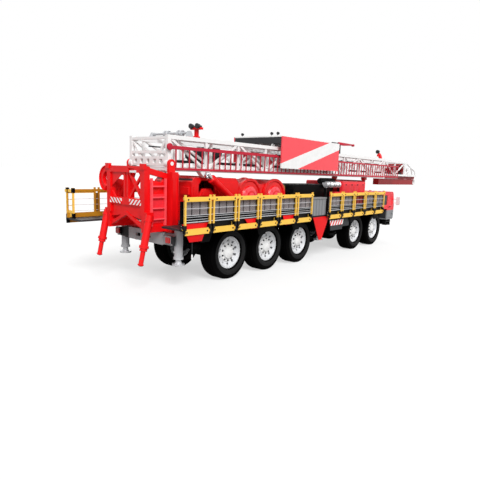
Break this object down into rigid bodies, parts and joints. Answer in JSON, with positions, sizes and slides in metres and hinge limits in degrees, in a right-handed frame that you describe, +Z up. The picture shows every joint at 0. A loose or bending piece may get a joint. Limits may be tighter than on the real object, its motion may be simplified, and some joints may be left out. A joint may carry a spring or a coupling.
{
  "type": "truck-mounted workover rig",
  "caption": "Truck-mounted well servicing rig: a telescoping lattice mast lies over its carrier, with drawworks, a low cab, folded walkways, screw legs and levelling jacks.",
  "frame": {"origin": "middle of the machine's overall length and width, on the ground under the wheels", "axes": "+X forward to the cab and the crown, +Y to the left side, +Z up"},
  "size_m": [17.295, 3.256, 3.8119],
  "materials": {
    "red_paint": "gloss enamel",
    "mast_white": "gloss enamel",
    "ladder_red": "gloss enamel",
    "yellow_paint": "semi-gloss enamel",
    "grey_paint": "semi-gloss enamel",
    "black_paint": "satin chassis paint",
    "galvanised": "expanded metal, zinc coated",
    "dark_steel": "dark oiled metal",
    "tyre_rubber": "worn rubber",
    "rim_silver": "bright painted wheel",
    "hard_chrome": "hydraulic rod",
    "steel_pipe": "bright corrugated pipe",
    "dark_glass": "tinted glass",
    "seat_cloth": "dark seat cloth",
    "lamp_glass": "lamp lens"
  },
  "bodies": {
    "carrier": {"chassis_frame": "black_paint", "axle_beams": "black_paint", "deck": "grey_paint", "walkway_brackets": "red_paint", "gratings": "galvanised", "railings": "yellow_paint", "rear_bumper": "grey_paint", "side_boxes": "grey_paint", "jack_housings": "red_paint", "mast_base": "red_paint", "mast_rest": "red_paint", "drawworks_housing": "red_paint", "drum_guards": "red_paint", "engine": "dark_steel", "exhaust_pipe": "steel_pipe", "radiator_hood": "red_paint", "cab_shell": "red_paint", "cab_glass": "dark_glass", "cab_seats": "seat_cloth", "lamps": "lamp_glass"},
    "wheel_1l": {"tyre_1l": "tyre_rubber", "rim_1l": "rim_silver"},
    "wheel_1r": {"tyre_1r": "tyre_rubber", "rim_1r": "rim_silver"},
    "wheel_2l": {"tyre_2l": "tyre_rubber", "rim_2l": "rim_silver"},
    "wheel_2r": {"tyre_2r": "tyre_rubber", "rim_2r": "rim_silver"},
    "wheel_3l": {"tyre_3l": "tyre_rubber", "rim_3l": "rim_silver"},
    "wheel_3r": {"tyre_3r": "tyre_rubber", "rim_3r": "rim_silver"},
    "wheel_4l": {"tyre_4l": "tyre_rubber", "rim_4l": "rim_silver"},
    "wheel_4r": {"tyre_4r": "tyre_rubber", "rim_4r": "rim_silver"},
    "wheel_5l": {"tyre_5l": "tyre_rubber", "rim_5l": "rim_silver"},
    "wheel_5r": {"tyre_5r": "tyre_rubber", "rim_5r": "rim_silver"},
    "knuckle_4l": {"knuckle_4l": "black_paint"},
    "knuckle_4r": {"knuckle_4r": "black_paint"},
    "knuckle_5l": {"knuckle_5l": "black_paint"},
    "knuckle_5r": {"knuckle_5r": "black_paint"},
    "door_left": {"door_left": "red_paint"},
    "door_right": {"door_right": "red_paint"},
    "jack_rear_left": {"jack_rear_left": "hard_chrome"},
    "jack_rear_right": {"jack_rear_right": "hard_chrome"},
    "jack_front_left": {"jack_front_left": "hard_chrome"},
    "jack_front_right": {"jack_front_right": "hard_chrome"},
    "leg_left": {"leg_screw_left": "red_paint"},
    "leg_right": {"leg_screw_right": "red_paint"},
    "mast": {"mast_lower": "mast_white", "mast_ladder": "ladder_red", "mast_fittings": "red_paint"},
    "upper": {"mast_upper": "mast_white", "crown_block": "ladder_red"},
    "board": {"racking_board": "red_paint"},
    "barrels": {"raise_barrels": "red_paint"},
    "rods": {"raise_rods": "hard_chrome"}
  },
  "joints": [
    {"name": "steer_4l", "type": "hinge", "parent": "carrier", "child": "knuckle_4l", "pos_m": [0.9775, 0.64, 0.67], "axis": [0, 0, 1], "range_deg": [-19.2, 19.2]},
    {"name": "steer_4r", "type": "hinge", "parent": "carrier", "child": "knuckle_4r", "pos_m": [0.9775, -0.64, 0.67], "axis": [0, 0, 1], "range_deg": [-19.2, 19.2]},
    {"name": "steer_5l", "type": "hinge", "parent": "carrier", "child": "knuckle_5l", "pos_m": [2.5525, 0.64, 0.67], "axis": [0, 0, 1], "range_deg": [-24, 24]},
    {"name": "steer_5r", "type": "hinge", "parent": "carrier", "child": "knuckle_5r", "pos_m": [2.5525, -0.64, 0.67], "axis": [0, 0, 1], "range_deg": [-24, 24]},
    {"name": "roll_1l", "type": "hinge", "parent": "carrier", "child": "wheel_1l", "pos_m": [-5.8025, 0.895, 0.67], "axis": [0, 1, 0], "continuous": true},
    {"name": "roll_1r", "type": "hinge", "parent": "carrier", "child": "wheel_1r", "pos_m": [-5.8025, -0.895, 0.67], "axis": [0, 1, 0], "continuous": true},
    {"name": "roll_2l", "type": "hinge", "parent": "carrier", "child": "wheel_2l", "pos_m": [-4.2525, 0.895, 0.67], "axis": [0, 1, 0], "continuous": true},
    {"name": "roll_2r", "type": "hinge", "parent": "carrier", "child": "wheel_2r", "pos_m": [-4.2525, -0.895, 0.67], "axis": [0, 1, 0], "continuous": true},
    {"name": "roll_3l", "type": "hinge", "parent": "carrier", "child": "wheel_3l", "pos_m": [-2.7025, 0.895, 0.67], "axis": [0, 1, 0], "continuous": true},
    {"name": "roll_3r", "type": "hinge", "parent": "carrier", "child": "wheel_3r", "pos_m": [-2.7025, -0.895, 0.67], "axis": [0, 1, 0], "continuous": true},
    {"name": "roll_4l", "type": "hinge", "parent": "knuckle_4l", "child": "wheel_4l", "pos_m": [0.9775, 0.895, 0.67], "axis": [0, 1, 0], "continuous": true},
    {"name": "roll_4r", "type": "hinge", "parent": "knuckle_4r", "child": "wheel_4r", "pos_m": [0.9775, -0.895, 0.67], "axis": [0, 1, 0], "continuous": true},
    {"name": "roll_5l", "type": "hinge", "parent": "knuckle_5l", "child": "wheel_5l", "pos_m": [2.5525, 0.895, 0.67], "axis": [0, 1, 0], "continuous": true},
    {"name": "roll_5r", "type": "hinge", "parent": "knuckle_5r", "child": "wheel_5r", "pos_m": [2.5525, -0.895, 0.67], "axis": [0, 1, 0], "continuous": true},
    {"name": "door_left", "type": "hinge", "parent": "carrier", "child": "door_left", "pos_m": [3.9515, 1.268, 1.5], "axis": [0, 0, -1], "range_deg": [0, 72]},
    {"name": "door_right", "type": "hinge", "parent": "carrier", "child": "door_right", "pos_m": [3.9515, -1.268, 1.5], "axis": [0, 0, 1], "range_deg": [0, 72]},
    {"name": "jack_rear_left", "type": "slide", "parent": "carrier", "child": "jack_rear_left", "axis": [0, 0, -1], "range_m": [0, 0.555]},
    {"name": "jack_rear_right", "type": "slide", "parent": "carrier", "child": "jack_rear_right", "axis": [0, 0, -1], "range_m": [0, 0.555]},
    {"name": "jack_front_left", "type": "slide", "parent": "carrier", "child": "jack_front_left", "axis": [0, 0, -1], "range_m": [0, 0.555]},
    {"name": "jack_front_right", "type": "slide", "parent": "carrier", "child": "jack_front_right", "axis": [0, 0, -1], "range_m": [0, 0.555]},
    {"name": "leg_left", "type": "slide", "parent": "carrier", "child": "leg_left", "axis": [-0.2164, 0, -0.9763], "range_m": [0, 0.6]},
    {"name": "leg_right", "type": "slide", "parent": "carrier", "child": "leg_right", "axis": [-0.2164, 0, -0.9763], "range_m": [0, 0.6]},
    {"name": "mast_raise", "type": "hinge", "parent": "carrier", "child": "mast", "pos_m": [-7.4225, 0, 2.78], "axis": [0, -1, 0], "range_deg": [0, 90]},
    {"name": "mast_extend", "type": "slide", "parent": "mast", "child": "upper", "axis": [1, 0, 0], "range_m": [0, 9.5]},
    {"name": "board_fold", "type": "hinge", "parent": "upper", "child": "board", "pos_m": [-3.5325, 0, 3.44], "axis": [0, -1, 0], "range_deg": [0, 90]},
    {"name": "barrel_swing", "type": "hinge", "parent": "carrier", "child": "barrels", "pos_m": [-4.9025, 0, 1.56], "axis": [0, -1, 0], "range_deg": [-10.7, 0]},
    {"name": "rod_slide", "type": "slide", "parent": "barrels", "child": "rods", "axis": [-0.8354, 0, 0.5496], "range_m": [0, 1.3792]}
  ],
  "couplings": [
    {"joint": "steer_5r", "follows": "steer_5l", "ratio": 1},
    {"joint": "steer_4l", "follows": "steer_5l", "ratio": 0.8},
    {"joint": "steer_4r", "follows": "steer_5l", "ratio": 0.8},
    {"joint": "barrel_swing", "follows": "mast_raise", "ratio": -0.11828},
    {"joint": "rod_slide", "follows": "mast_raise", "m_per_rad": 0.87674}
  ]
}
